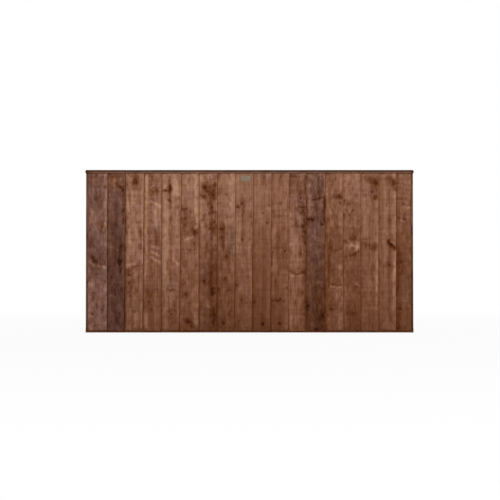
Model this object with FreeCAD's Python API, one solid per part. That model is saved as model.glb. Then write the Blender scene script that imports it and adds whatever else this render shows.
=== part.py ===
"""Closeboard fence panel: lapped, tapered boards on three rails between end battens, under a weathered
capping rail and on a base rail.

Millimetres. +X runs along the panel from left to right as seen from its boarded front, +Y points to the
back and +Z is up. The origin is the centre of the left end batten's outer face, which meets the post.
"""

import FreeCAD
import Part
import math
import os

# Whole panel
PANEL_LENGTH = 1829.0
PANEL_HEIGHT = 908.0
RAIL_OVERHANG = 1.0

# Capping rail and base rail
CAP_DEPTH_FRONT = 38.0
CAP_DEPTH_BACK = 20.0
CAP_HEIGHT = 20.0
CAP_EDGE_HEIGHT = 12.0
CAP_RIDGE_WIDTH = 14.0
BASE_RAIL_HEIGHT = 22.0

# End battens and the three back rails, all of one depth
FRAME_DEPTH = 32.0
END_BATTEN_WIDTH = 22.0
BACK_RAIL_HEIGHT = 38.0

# Tapered boards, thick at the right edge, each lapping over the thin edge of the next
BOARD_WIDTH = 125.0
BOARD_THICK_EDGE = 11.0
BOARD_THIN_EDGE = 4.0
BOARD_COVER = 100.6
FIRST_COVER = 108.3
END_REVEAL = 14.5
LAP_CLEARANCE = 0.1
LAP_WANDER = (0.0, -6.0, -2.0, -3.0, 4.0, 5.0, 4.0, 6.0, 6.0, 7.0, 1.0, -2.0, 5.0, 5.0, -1.0, 2.0, -1.0)
FOOT_RISES = (12.0, 10.0, 11.0, 7.0, 12.0, 11.0, 12.0, 10.0)

# Blank tag on the front, near the middle of the top
TAG_WIDTH = 54.0
TAG_HEIGHT = 29.0
TAG_THICKNESS = 1.0
TAG_BELOW_CAP = 15.0
TAG_FROM_THICK_EDGE = 17.0

# Places worked out from the sizes above
frame_length = PANEL_LENGTH - 2 * RAIL_OVERHANG
frame_front = -FRAME_DEPTH / 2
batten_height = PANEL_HEIGHT - CAP_HEIGHT - BASE_RAIL_HEIGHT
batten_top = batten_height / 2
batten_foot = -batten_height / 2
panel_foot = batten_foot - BASE_RAIL_HEIGHT
board_lap = BOARD_WIDTH - BOARD_COVER


def block(x, y, z, length, depth, height):
    """A squared length of timber with its lowest corner at x, y, z."""
    return Part.makeBox(length, depth, height, FreeCAD.Vector(x, y, z))


def prism(points, along):
    """A solid made by pushing the closed outline through points along a vector."""
    outline = Part.makePolygon(points + points[:1])
    return Part.Face(outline).extrude(along)


def capping_rail():
    """The weathered cap: two slopes fall from a narrow flat ridge to the front and back edges."""
    depth_middle = (CAP_DEPTH_BACK - CAP_DEPTH_FRONT) / 2
    edge_top = batten_top + CAP_EDGE_HEIGHT
    ridge_top = batten_top + CAP_HEIGHT
    section = [
        (-CAP_DEPTH_FRONT, batten_top),
        (CAP_DEPTH_BACK, batten_top),
        (CAP_DEPTH_BACK, edge_top),
        (depth_middle + CAP_RIDGE_WIDTH / 2, ridge_top),
        (depth_middle - CAP_RIDGE_WIDTH / 2, ridge_top),
        (-CAP_DEPTH_FRONT, edge_top),
    ]
    points = [FreeCAD.Vector(-RAIL_OVERHANG, y, z) for y, z in section]
    return prism(points, FreeCAD.Vector(PANEL_LENGTH, 0, 0))


def base_rail():
    """The rail under the end battens, as long as the cap."""
    return block(-RAIL_OVERHANG, frame_front, panel_foot, PANEL_LENGTH, FRAME_DEPTH, BASE_RAIL_HEIGHT)


def end_batten(x):
    """An upright between the base rail and the cap."""
    return block(x, frame_front, batten_foot, END_BATTEN_WIDTH, FRAME_DEPTH, batten_height)


def back_rail(z):
    """A level rail between the end battens, with its underside at z."""
    length = frame_length - 2 * END_BATTEN_WIDTH
    return block(END_BATTEN_WIDTH, frame_front, z, length, FRAME_DEPTH, BACK_RAIL_HEIGHT)


def board_places():
    """The left and right edge of each board, from the panel's left end to its right."""
    first_edge = END_REVEAL + FIRST_COVER
    last_edge = frame_length - END_REVEAL
    laps = math.ceil((last_edge - first_edge) / BOARD_COVER)
    rights = [first_edge + k * BOARD_COVER + LAP_WANDER[k % len(LAP_WANDER)] for k in range(laps)]
    rights.append(last_edge)
    lefts = [right - BOARD_WIDTH for right in rights]
    lefts[0] = END_REVEAL
    lefts[-1] = max(lefts[-1], rights[-2] - board_lap)
    return list(zip(lefts, rights))


def thickness_at(distance):
    """A board's thickness at a distance from its thick edge."""
    return BOARD_THICK_EDGE - (BOARD_THICK_EDGE - BOARD_THIN_EDGE) * distance / BOARD_WIDTH


def board_lifts(places):
    """How far each board's thick edge stands off the rails, on the board to its right."""
    lifts = [0.0]
    for (left, right), (next_left, next_right) in reversed(list(zip(places, places[1:]))):
        next_width = next_right - next_left
        along_next = right - next_left
        behind = lifts[0] * along_next / next_width + thickness_at(next_right - right)
        lifts.insert(0, behind + LAP_CLEARANCE)
    return lifts


def board(left, right, lift, foot_rise):
    """One tapered board: its thin edge lies on the rails and its thick edge is lifted."""
    foot = panel_foot + foot_rise
    section = [
        (left, frame_front),
        (right, frame_front - lift),
        (right, frame_front - lift - BOARD_THICK_EDGE),
        (left, frame_front - thickness_at(right - left)),
    ]
    points = [FreeCAD.Vector(x, y, foot) for x, y in section]
    return prism(points, FreeCAD.Vector(0, 0, batten_top - foot))


def blank_tag(left, right, lift):
    """A thin plain plate on the sloping front of a board, just below the cap."""
    slope = (lift + BOARD_THICK_EDGE - thickness_at(right - left)) / (right - left)
    tag_right = right - TAG_FROM_THICK_EDGE
    tag_left = tag_right - TAG_WIDTH
    edge_front = frame_front - lift - BOARD_THICK_EDGE
    right_back = edge_front + slope * TAG_FROM_THICK_EDGE
    left_back = edge_front + slope * (TAG_FROM_THICK_EDGE + TAG_WIDTH)
    tag_top = batten_top - TAG_BELOW_CAP
    section = [
        (tag_left, left_back),
        (tag_right, right_back),
        (tag_right, right_back - TAG_THICKNESS),
        (tag_left, left_back - TAG_THICKNESS),
    ]
    points = [FreeCAD.Vector(x, y, tag_top - TAG_HEIGHT) for x, y in section]
    return prism(points, FreeCAD.Vector(0, 0, TAG_HEIGHT))


def make_nodes():
    """Every piece of the panel, by name."""
    middle_rail_foot = panel_foot + (PANEL_HEIGHT - BACK_RAIL_HEIGHT) / 2
    nodes = {
        "capping_rail": capping_rail(),
        "base_rail": base_rail(),
        "left_end_batten": end_batten(0.0),
        "right_end_batten": end_batten(frame_length - END_BATTEN_WIDTH),
        "top_rail": back_rail(batten_top - BACK_RAIL_HEIGHT),
        "middle_rail": back_rail(middle_rail_foot),
        "bottom_rail": back_rail(batten_foot),
    }
    places = board_places()
    lifts = board_lifts(places)
    for k, ((left, right), lift) in enumerate(zip(places, lifts)):
        foot_rise = FOOT_RISES[k % len(FOOT_RISES)]
        nodes[f"board_{k + 1:02d}"] = board(left, right, lift, foot_rise)
    middle = (len(places) - 1) // 2
    nodes["blank_tag"] = blank_tag(*places[middle], lifts[middle])
    return nodes


os.makedirs("parts", exist_ok=True)
for name, shape in make_nodes().items():
    shape.exportStep(f"parts/{name}.step")
    print(f"{name}: {shape.Volume / 1e6:.3f} litres, valid {shape.isValid()}")
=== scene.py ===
"""Closeboard fence panel: the look of its sawn and dipped timber, its nails and its blank tag."""

import math
from functools import reduce

import bmesh
import bpy
import numpy as np
from bpy.props import FloatProperty, FloatVectorProperty, PointerProperty
from mathutils import Matrix, Vector, noise
from mathutils.bvhtree import BVHTree


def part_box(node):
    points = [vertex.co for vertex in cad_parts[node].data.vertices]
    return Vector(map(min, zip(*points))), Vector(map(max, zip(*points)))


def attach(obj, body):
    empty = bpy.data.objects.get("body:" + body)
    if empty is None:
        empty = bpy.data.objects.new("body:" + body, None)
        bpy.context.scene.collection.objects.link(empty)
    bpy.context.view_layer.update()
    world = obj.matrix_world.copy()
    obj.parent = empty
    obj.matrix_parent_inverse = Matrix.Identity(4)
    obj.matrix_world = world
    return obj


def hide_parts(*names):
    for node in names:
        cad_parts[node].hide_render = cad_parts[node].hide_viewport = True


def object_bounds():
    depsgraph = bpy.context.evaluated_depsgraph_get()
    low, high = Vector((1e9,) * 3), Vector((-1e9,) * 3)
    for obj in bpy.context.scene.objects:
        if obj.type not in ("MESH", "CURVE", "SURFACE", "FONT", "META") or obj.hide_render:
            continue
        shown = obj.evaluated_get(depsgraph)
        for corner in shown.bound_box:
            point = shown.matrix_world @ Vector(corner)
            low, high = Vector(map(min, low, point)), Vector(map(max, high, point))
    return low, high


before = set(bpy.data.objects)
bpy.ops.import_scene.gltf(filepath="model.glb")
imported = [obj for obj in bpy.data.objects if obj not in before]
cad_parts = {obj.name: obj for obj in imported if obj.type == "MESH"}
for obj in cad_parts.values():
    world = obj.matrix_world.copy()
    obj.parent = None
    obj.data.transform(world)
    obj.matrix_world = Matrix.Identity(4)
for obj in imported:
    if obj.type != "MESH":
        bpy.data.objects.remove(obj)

cad_box = [list(corner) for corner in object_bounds()]

bl_info = {
    "name": "Closeboard Fence Panel",
    "version": (1, 0, 0),
    "blender": (4, 5, 0),
    "location": "View3D > Sidebar > Fence Panel",
    "description": "Builds the finished look of a closeboard fence panel",
    "category": "Object",
}

MM = 0.001
AXES = (Vector((1, 0, 0)), Vector((0, 1, 0)), Vector((0, 0, 1)))
RIGHT, BACK, UP = AXES
WHITE = (1.0, 1.0, 1.0, 1.0)

BOARD_COUNT = sum(name.startswith("board_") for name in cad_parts)
PANEL_FOOT = cad_box[0][2]
FLOOR_MIDDLE = (0.9, 0.0, PANEL_FOOT)
KNOTS_A_PIECE = 7

# Which way a timber lies: its axes across, in depth and along, as 0, 1 or 2
UPRIGHT, LEVEL, FLAT = (0, 1, 2), (2, 1, 0), (1, 2, 0)

# Stain of each board: depth at head, middle and foot, purple at head and foot, painted shade beside the
# lap, mottle
TONES = {
    1: (1.40, 1.70, 1.45, 0.80, 0.80, 0.0, 1.5),
    2: (1.80, 2.75, 3.00, 0.55, 1.30, 0.2, 1.7),
    3: (0.15, 0.60, 1.10, 0.00, 0.30, 0.8, 1.1),
    4: (0.55, 1.05, 1.65, 0.10, 0.15, 0.2, 0.9),
    5: (0.45, 0.60, 1.65, 0.00, 0.10, 0.3, 0.9),
    6: (0.20, 0.95, 1.15, 0.00, 0.00, 0.4, 1.1),
    7: (0.30, 1.35, 1.95, 0.15, 0.20, 0.6, 1.2),
    8: (0.45, 1.40, 2.25, 0.05, 0.15, 0.7, 1.1),
    9: (0.50, 0.85, 1.50, 0.05, 0.05, 0.1, 0.7),
    10: (0.40, 1.25, 1.85, 0.10, 0.05, 0.4, 0.6),
    11: (0.45, 1.20, 1.70, 0.00, 0.05, 0.7, 0.7),
    12: (0.85, 0.85, 1.15, 0.40, 0.00, 0.2, 0.8),
    13: (1.50, 2.35, 3.35, 0.60, 0.60, 0.5, 1.9),
    14: (1.00, 1.40, 1.65, 0.05, 0.10, 0.9, 1.1),
    15: (0.40, 1.60, 1.75, 0.00, 0.00, 0.3, 1.1),
    16: (0.45, 1.25, 1.50, 0.00, 0.00, 0.7, 0.9),
    17: (0.55, 0.85, 1.25, 0.00, 0.00, 0.6, 0.7),
    18: (0.60, 1.70, 1.95, 0.05, 0.05, 1.0, 1.0),
}

# Heights in m above the foot at which the tones and the shares of purple stand
TONE_HEIGHTS = (0.08, 0.43, 0.74)
PURPLE_HEIGHTS = (0.2, 0.75)

# How far each board's thick edge leans in, in mm, at its head and at its foot
LEANS = {
    1: (0, 2), 2: (-4, 0), 3: (-4, 3), 4: (-3, 0), 5: (-4, 7), 6: (-1, 0), 7: (-4, 0), 8: (-3, 5),
    9: (-2, 8), 10: (-2, 6), 11: (-5, 2), 12: (-2, 2), 13: (-1, 8), 14: (3, -1), 15: (-3, 0), 16: (0, 4),
    17: (0, 3), 18: (-1, -1),
}

# Knots on each board in mm: distance from its thick edge, height above the panel's foot, radius
KNOTS = {
    1: ((31, 591, 8), (74, 399, 12), (84, 105, 7), (61, 158, 4), (28, 870, 4), (69, 742, 4), (40, 378, 6)),
    2: ((11, 792, 7), (25, 401, 7), (16, 242, 12), (51, 878, 4), (66, 558, 4), (43, 85, 4), (75, 64, 4)),
    3: ((44, 845, 19), (69, 870, 4), (79, 276, 7), (74, 203, 6), (17, 567, 5), (82, 324, 6)),
    4: ((26, 794, 6), (73, 227, 5), (70, 170, 5), (54, 132, 4)),
    5: ((83, 792, 7), (58, 805, 7), (51, 417, 4), (72, 387, 4), (53, 103, 5), (33, 155, 3)),
    6: ((22, 554, 13), (60, 64, 14), (74, 688, 6), (88, 266, 5), (73, 212, 8)),
    7: ((61, 806, 9), (43, 773, 8), (18, 764, 8), (27, 239, 9), (12, 248, 7), (28, 701, 6), (70, 287, 6)),
    8: ((47, 423, 8), (63, 52, 8), (74, 579, 7), (76, 529, 6), (54, 306, 7)),
    9: ((84, 701, 7), (63, 719, 7), (61, 520, 5), (92, 264, 6), (64, 182, 6), (81, 61, 6)),
    10: ((44, 866, 6), (47, 666, 6), (22, 612, 6), (96, 170, 7), (48, 49, 9)),
    11: ((42, 869, 6), (20, 452, 7), (86, 447, 6), (71, 287, 4), (47, 187, 6), (49, 52, 9), (84, 175, 6)),
    12: ((30, 747, 8), (16, 678, 7), (55, 612, 6), (18, 594, 7), (11, 630, 7), (12, 532, 7), (30, 438, 6)),
    13: ((36, 785, 6), (57, 758, 6), (95, 630, 7), (72, 627, 7), (95, 152, 7), (18, 97, 7), (19, 603, 6)),
    14: ((21, 758, 11), (18, 723, 7), (74, 475, 6), (76, 372, 4), (70, 134, 5)),
    15: ((85, 736, 5), (29, 529, 7), (82, 421, 6), (22, 253, 4), (89, 655, 5)),
    16: ((17, 831, 12), (38, 785, 7), (21, 754, 12), (25, 476, 5)),
    17: ((37, 375, 8), (37, 630, 6), (28, 487, 10)),
    18: ((66, 642, 7), (34, 633, 6), (55, 392, 8), (58, 132, 6)),
}

# Marks on each board in mm: from its thick edge and height, of a spot or both ends, half width, strength.
# Pale strips along many thick edges are partly wear and partly painted highlight, and a few dark strips
# along a lap are painted shade
MARKS = {
    1: (
        (86, 866, 86, 833, 19, 0.6), (12, 872, 12, 600, 12, -0.4), (12, 600, 12, 25, 8, -0.2),
        (92, 270, 92, 30, 26, -0.5), (45, 760, 9, 0.6), (89, 671, 89, 627, 14, -0.5),
        (86, 526, 86, 504, 18, 0.7), (103, 432, 59, 393, 12, 1), (102, 396, 76, 374, 8, -1.3),
        (50, 372, 10, 362, 9, -1.3), (33, 342, 17, 342, 11, -0.9), (60, 326, 7, 1.1),
        (47, 415, 25, 437, 8, 0.6), (86, 91, 7, -1.1), (15, 609, 6, -1.1), (23, 570, 6, -1.1),
        (58, 800, 52, 700, 15, 0.6), (56, 604, 50, 588, 18, -0.7), (92, 480, 84, 462, 16, -0.6),
        (90, 426, 76, 404, 12, 0.5),
    ),
    2: (
        (70, 861, 70, 822, 22, -0.45), (42, 870, 42, 640, 13, 0.3), (50, 600, 50, 350, 22, 0.5),
        (47, 833, 8, 794, 7, 1.4), (50, 721, 50, 610, 12, 0.7), (23, 516, 23, 454, 11, 1.0),
        (22, 409, 22, 337, 7, 1.4), (53, 259, 53, 226, 19, 0.6), (82, 766, 5, -1.3), (77, 206, 5, -1.3),
        (22, 852, 12, 826, 9, -1.0), (6, 692, 6, 674, 6, 1.1), (6, 634, 6, 612, 6, 1.1),
        (4, 770, 4, 640, 5, 0.5), (88, 560, 84, 410, 14, -0.6), (52, 190, 44, 60, 20, 0.7),
        (66, 770, 34, 744, 12, -0.4), (24, 792, 18, 776, 8, -0.5), (23, 454, 22, 410, 9, 0.6),
    ),
    3: (
        (62, 777, 62, 721, 9, -0.6), (9, 872, 9, 25, 7, -0.2), (100, 872, 100, 25, 5, 0.9),
        (80, 872, 80, 330, 26, -0.35), (42, 826, 34, 800, 11, 0.4), (68, 850, 8, -0.6),
        (92, 330, 68, 318, 6, 1.4), (44, 875, 9, 855, 5, 1), (52, 281, 52, 42, 45, 0.3), (88, 238, 6, -0.8),
        (45, 850, 40, 838, 13, 0.9), (84, 660, 88, 640, 12, 0.7), (12, 545, 22, 470, 13, 0.9),
        (88, 346, 56, 330, 8, 0.9), (54, 360, 46, 348, 12, 0.5), (20, 610, 14, 588, 12, -0.5),
        (56, 790, 44, 756, 26, -0.4), (20, 786, 14, 770, 10, -0.5), (92, 350, 26, 371, 7, 0.6),
        (88, 376, 44, 388, 8, -0.5),
    ),
    4: (
        (84, 872, 84, 330, 7, -1.1), (88, 330, 88, 25, 8, -0.5), (58, 872, 58, 300, 13, 0.35),
        (51, 808, 12, 808, 5, 0.7), (14, 779, 6, -0.8), (18, 802, 6, -0.8), (44, 822, 6, -0.7),
        (58, 730, 8, 704, 7, -1.15), (38, 690, 34, 600, 20, -0.6), (56, 452, 10, 428, 6, -1.2),
        (54, 418, 10, 392, 7, -1.2), (42, 237, 20, 243, 6, 0.4), (86, 128, 5, -1),
        (58, 484, 12, 468, 6, -0.9), (28, 560, 26, 500, 14, 0.5), (44, 868, 30, 850, 20, 0.6),
        (82, 236, 52, 204, 14, 0.5), (86, 100, 84, 36, 13, -0.9), (58, 792, 46, 780, 9, 0.7),
        (86, 608, 60, 590, 12, -0.35),
    ),
    5: (
        (86, 812, 80, 806, 12, -0.6), (60, 872, 60, 727, 8, 0.9), (89, 872, 89, 25, 14, -0.55),
        (98, 791, 64, 791, 5, 1.5), (58, 822, 58, 788, 6, 1.4), (86, 815, 8, -0.7),
        (68, 740, 47, 723, 6, 1.3), (26, 858, 22, 776, 20, -0.95), (50, 416, 12, 380, 7, -0.9),
        (76, 244, 52, 237, 5, 0.9), (68, 119, 48, 131, 5, 0.8), (56, 721, 56, 300, 8, 0.5),
        (18, 738, 18, 125, 7, -0.2), (84, 868, 80, 850, 14, 0.5), (16, 552, 18, 520, 13, -0.7),
        (20, 672, 16, 640, 10, -0.5), (52, 237, 30, 243, 6, 1.1), (48, 131, 26, 121, 5, 0.8),
    ),
    6: (
        (96, 688, 60, 688, 6, 1.1), (74, 655, 74, 604, 20, 0.4), (35, 574, 23, 560, 7, 1.3),
        (12, 560, 4, 560, 6, 0.8), (80, 636, 74, 556, 18, 0.9), (80, 516, 32, 534, 5, -1.1),
        (17, 872, 15, 590, 13, -0.6), (14, 560, 14, 25, 10, -0.45), (62, 182, 54, 192, 6, -0.8),
        (62, 60, 18, 24, 14, 1.2), (86, 350, 82, 170, 13, -0.5), (15, 678, 14, 590, 9, -0.9),
        (88, 548, 82, 520, 12, 0.5),
    ),
    7: (
        (89, 766, 67, 759, 6, 1.5), (73, 816, -5, 816, 12, 0.8), (59, 788, 26, 786, 10, 0.7),
        (17, 794, 17, 749, 9, 0.9), (42, 668, -13, 668, 6, 0.8), (14, 632, 14, 565, 16, 0.6),
        (42, 579, 26, 579, 7, 1), (20, 457, -2, 460, 7, 1), (65, 827, 65, 760, 17, 0.8),
        (26, 822, 26, 760, 22, 0.8), (26, 749, 26, 25, 18, 0.6), (28, 787, 5, -1.7), (58, 830, 5, -1.4),
        (22, 370, 22, 281, 23, 0.5), (27, 226, 27, 212, 7, 1.4), (13, 221, 7, 1.4), (42, 144, 6, -1.1),
        (17, 125, 17, 36, 9, 0.8), (66, 55, 10, 0.6), (15, 615, 6, 1.3), (34, 582, 6, 1.1),
        (26, 523, 6, 1.1), (17, 460, 6, 1.1), (40, 663, 6, 1.3), (90, 868, 90, 800, 10, -0.6),
        (34, 722, 22, 664, 13, 0.5), (38, 626, 30, 578, 12, 0.9), (84, 690, 80, 490, 14, -0.5),
        (28, 244, 28, 240, 8, 1.3), (24, 216, 24, 212, 7, 0.9), (74, 290, 64, 282, 7, 0.9),
        (58, 264, 38, 286, 5, 0.5), (70, 672, 62, 596, 14, 0.45), (40, 306, 36, 262, 16, 0.3),
        (52, 180, 48, 150, 10, -0.6), (24, 130, 22, 66, 12, 0.4),
    ),
    8: (
        (89, 578, 64, 578, 8, 0.8), (16, 872, 16, 600, 22, -0.5), (45, 600, 45, 330, 30, -0.3),
        (63, 604, 63, 460, 6, 1.1), (17, 861, 17, 783, 11, -0.6), (69, 413, 10, 0.6),
        (24, 128, 36, 97, 6, 0.8), (50, 330, 50, 25, 26, -0.3), (12, 600, 12, 25, 8, -0.1),
        (92, 246, 90, 238, 7, 1.4), (90, 224, 84, 214, 7, 0.8), (47, 424, 47, 422, 7, 0.7),
        (72, 302, 52, 290, 6, 0.8), (66, 56, 66, 50, 9, 1.0), (84, 790, 86, 770, 12, 0.7),
        (18, 790, 16, 700, 12, -0.4), (16, 604, 18, 470, 13, 0.5), (86, 120, 80, 96, 10, -0.5),
    ),
    9: (
        (93, 699, 77, 702, 7, 1), (68, 716, 60, 721, 6, 1), (88, 870, 88, 454, 16, -0.5),
        (57, 688, 57, 515, 4, 1.1), (18, 604, 18, 515, 4, 0.8), (90, 279, 5, -1.1),
        (45, 165, 31, 165, 4, 1), (50, 827, 50, 70, 14, 0.25), (22, 620, 22, 330, 16, -0.3),
        (70, 240, 60, 218, 24, -0.8), (16, 424, 18, 350, 11, 0.5), (20, 668, 18, 646, 9, 0.5),
    ),
    10: (
        (41, 640, 41, 42, 11, 0.3), (18, 838, 18, 125, 6, -0.3), (16, 856, 16, 712, 11, 0.5),
        (54, 664, 46, 610, 16, -0.6), (48, 52, 46, 46, 9, 0.8), (40, 30, 8, 30, 12, 0.5),
    ),
    11: (
        (85, 716, 13, 716, 5, 0.4), (85, 682, 13, 682, 5, 0.4), (85, 649, 13, 649, 5, 0.4),
        (57, 554, 57, 454, 10, 0.6), (84, 600, 84, 330, 16, -0.5), (12, 330, 12, 25, 10, -0.35),
        (41, 463, 5, -1.1), (8, 445, 5, -1), (58, 336, 9, 0.6), (9, 251, 6, 1.3), (26, 37, 6, -1),
        (52, 866, 48, 360, 11, 0.35), (86, 300, 84, 170, 12, -0.5), (76, 182, 62, 175, 6, 1.1),
        (56, 178, 46, 188, 6, 1.1), (30, 178, 22, 172, 5, 0.9), (50, 54, 50, 50, 9, 0.9),
    ),
    12: (
        (86, 872, 86, 25, 26, -0.4), (5, 872, 5, 745, 7, 1.1), (8, 600, 8, 110, 13, 1.0),
        (35, 827, 35, 777, 20, 0.4), (63, 872, 8, 0.7), (43, 701, 12, 701, 6, 1.3),
        (49, 744, 16, 721, 8, 0.7), (21, 447, 5, -1), (86, 344, 54, 326, 6, 1.5), (54, 326, 8, 340, 6, 1.5),
        (43, 526, 43, 393, 28, -0.3), (8, 700, 6, 600, 7, 0.9), (82, 318, 20, 316, 4, -0.8),
        (78, 870, 40, 868, 9, 1.0), (60, 850, 44, 790, 26, 0.3), (56, 744, 20, 740, 7, -0.7),
        (54, 692, 44, 682, 6, 1.0), (32, 674, 24, 666, 6, 1.1), (34, 640, 24, 612, 13, -0.3),
        (52, 598, 40, 590, 8, 0.9), (4, 562, 2, 546, 7, 1.5), (6, 522, 4, 500, 6, 1.3),
        (86, 670, 84, 490, 13, -0.5), (40, 236, 26, 220, 17, 0.7), (88, 866, 88, 786, 18, 0.9),
        (12, 552, 10, 516, 7, -0.9), (8, 96, 8, 30, 10, 0.4), (34, 540, 8, 528, 6, 0.6),
        (14, 500, 12, 470, 8, -0.5),
    ),
    13: (
        (88, 856, 80, 764, 15, -0.25), (15, 869, 6, 1.1), (30, 732, 30, 622, 22, 0.7),
        (3, 750, 3, 612, 7, 2.2), (30, 270, 30, 25, 26, 0.5), (85, 270, 85, 25, 16, -0.3),
        (38, 864, 38, 778, 6, 0.8), (76, 737, 0, 757, 5, 1.0), (24, 604, 2, 604, 5, 1.2),
        (100, 636, 68, 628, 7, 1.4), (92, 735, 90, 650, 12, -0.5), (80, 508, 24, 500, 5, 0.5),
        (72, 486, 20, 478, 5, 0.6), (97, 152, 97, 138, 8, 1.6), (34, 192, 34, 174, 10, 1.0),
        (10, 112, 10, 94, 9, 1.4), (34, 66, 34, 56, 9, 0.9), (75, 384, 75, 378, 11, -0.8),
        (42, 286, 40, 280, 8, -0.6), (14, 370, 18, 344, 13, 0.7), (52, 850, 50, 780, 10, -0.3),
        (62, 666, 56, 650, 12, -0.4), (52, 730, 50, 640, 6, 0.7),
    ),
    14: (
        (28, 872, 28, 600, 26, -0.45), (18, 300, 18, 25, 22, -0.5), (80, 432, 80, 253, 4, 1.4),
        (65, 655, 41, 610, 5, 0.8), (44, 758, 10, 756, 11, 1.1), (27, 373, 12, 360, 10, -1.1),
        (78, 271, 14, 263, 6, 1.1), (70, 257, 14, 251, 6, -0.7), (14, 866, 14, 788, 4, -0.8),
        (57, 571, 57, 25, 22, 0.2), (93, 850, 91, 800, 5, -0.9), (92, 772, 88, 702, 5, -0.9),
        (91, 690, 93, 628, 5, -0.6), (84, 706, 38, 612, 5, -0.7), (74, 700, 30, 612, 5, 0.7),
        (46, 604, 34, 588, 16, 0.7), (96, 505, 96, 310, 5, -0.9), (86, 104, 86, 98, 9, 1.3),
        (70, 132, 58, 128, 7, 1.0), (36, 236, 30, 166, 20, -0.5), (86, 566, 84, 520, 13, -0.6),
        (56, 796, 50, 770, 14, 0.4), (77, 468, 42, 454, 5, 0.8), (42, 454, 4, 472, 5, 0.7),
    ),
    15: (
        (62, 654, 40, 686, 4, 1.3), (62, 654, 80, 692, 4, 1.0), (73, 627, 5, -0.8),
        (36, 494, 26, 474, 24, -1.2), (85, 872, 85, 25, 16, -0.35), (52, 428, 8, 453, 6, 1.5),
        (19, 264, 5, -1), (51, 136, 51, 25, 39, 0.5), (48, 604, 44, 524, 34, 0.15),
        (80, 722, 12, 716, 10, 0.6), (24, 272, 6, 262, 6, -0.9), (44, 610, 16, 600, 18, -0.15),
        (74, 486, 60, 476, 12, -0.5), (60, 522, 8, 515, 7, 0.8), (90, 514, 68, 500, 5, 0.7),
        (50, 492, 12, 476, 16, -0.5),
    ),
    16: (
        (13, 733, 13, 125, 8, -0.5), (82, 850, 82, 70, 9, -0.3), (57, 794, 57, 181, 8, -0.2),
        (60, 861, 26, 816, 17, 0.3), (56, 852, 22, 842, 20, 0.8), (14, 834, 12, 832, 9, 0.9),
        (40, 786, 38, 784, 7, 0.7), (20, 754, 18, 752, 9, 0.8), (86, 792, 82, 770, 12, 0.7),
        (60, 482, 20, 470, 18, 0.8), (10, 470, 10, 240, 6, -0.5), (18, 796, 14, 700, 8, -0.4),
        (88, 520, 62, 526, 5, 0.7), (30, 496, 18, 482, 9, 0.5),
    ),
    17: (
        (22, 851, 13, 824, 5, 1.3), (13, 824, 7, 797, 5, 1.3), (46, 508, 7, 469, 9, 1.9),
        (32, 510, 10, 490, 4, -1), (16, 872, 16, 600, 12, -0.2), (14, 590, 14, 25, 11, -0.6),
        (40, 794, 40, 70, 8, 0.5), (44, 862, 12, 830, 18, 1.0), (24, 820, 10, 796, 10, 0.7),
        (8, 772, 8, 606, 5, -0.45), (7, 484, 8, 330, 5, -0.6), (56, 700, 50, 410, 13, -0.4),
        (16, 110, 14, 40, 10, 0.6), (40, 500, 14, 478, 14, 0.6), (38, 852, 24, 834, 16, 0.45),
    ),
    18: (
        (19, 692, 13, 702, 6, -0.8), (57, 627, 37, 617, 5, -1.1), (69, 460, 69, 25, 8, 0.9),
        (27, 386, 8, -1), (55, 119, 5, -1.1), (76, 862, 6, 850, 6, 0.3), (76, 835, 6, 822, 6, 0.4),
        (76, 806, 6, 795, 6, 0.35), (76, 778, 6, 766, 6, 0.4), (76, 750, 6, 738, 6, 0.6),
        (76, 722, 6, 710, 6, 0.5), (50, 334, 48, 326, 10, 0.8), (46, 360, 36, 346, 12, 0.4),
        (68, 232, 66, 160, 10, -0.5), (28, 858, 10, 824, 16, -0.4), (72, 676, 66, 640, 12, -0.4),
        (24, 290, 22, 150, 12, -0.35),
    ),
}

# Rosy patches on each board, given as the marks are
BLOOMS = {
    1: ((60, 560, 30, 470, 34, 0.3), (88, 650, 88, 630, 12, -0.4)),
    2: ((60, 760, 40, 560, 34, 0.4), (78, 868, 50, 840, 16, -0.35)),
    4: ((34, 700, 30, 440, 22, 0.35), (44, 822, 8, 806, 10, 0.4)),
    7: ((44, 560, 20, 470, 30, 0.3), (80, 330, 76, 60, 22, 0.1)),
    8: ((24, 560, 14, 450, 24, 0.3),),
    9: ((60, 430, 40, 40, 40, 0.15),),
    12: ((26, 650, 30, 600, 22, 0.4), (40, 744, 20, 740, 12, 0.3)),
    13: ((34, 730, 34, 615, 26, 0.4), (74, 860, 70, 780, 22, 0.2)),
    15: ((44, 498, 40, 470, 34, 0.4),),
    16: ((66, 850, 40, 780, 30, 0.15),),
    17: ((30, 860, 20, 800, 26, 0.2),),
}

# Nails of each board, in mm from its thick edge, at the bottom, middle and top rail
NAILS = {
    1: (34, 10, 30), 2: (70, 36, 24), 7: (30, 26, 38), 8: (60, 34, 28), 9: (74, 38, 26), 10: (38, 30, 48),
    11: (47, 28, 41), 12: (34, 17, 11), 13: (30, 42, 10), 15: (64, 30, 36), 16: (23, 33, 19),
    17: (30, 26, 68),
}
USUAL_NAILS = (32, 28, 34)

# Nails that still shine, by board and by rail from the bottom
BRIGHT_NAILS = {(1, 1), (2, 1), (10, 2), (12, 1), (12, 2), (13, 2), (16, 2), (17, 2)}

# Nails of the cap as shares of its length, their y, and the y of the nails in the ends
CAP_NAILS, CAP_NAILS_Y = (0.008, 0.17, 0.335, 0.5, 0.665, 0.83, 0.992), -9 * MM
END_NAILS = (-7 * MM, 8 * MM)

# How far nails are sunk in the boards, the cap and the ends, how far they lean and how far they turn
BOARD_SINK, CAP_SINK, END_SINK, NAIL_LEAN, NAIL_TURN = 0.15 * MM, 0.9 * MM, 0.6 * MM, 0.06, 3

# How old a shining nail, a dull nail, a nail of the cap and one of the ends look, from 0 to 1
BRIGHT_AGE, DULL_AGE, CAP_AGE, END_AGE = 0.25, 0.9, 0.55, 0.6

# Staples: how far from the tag's left end, its right end and its top, and how far they stand proud
STAPLE_LEFT, STAPLE_RIGHT, STAPLE_BELOW, STAPLE_PROUD = 8 * MM, 9 * MM, 5 * MM, 0.3 * MM
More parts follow.
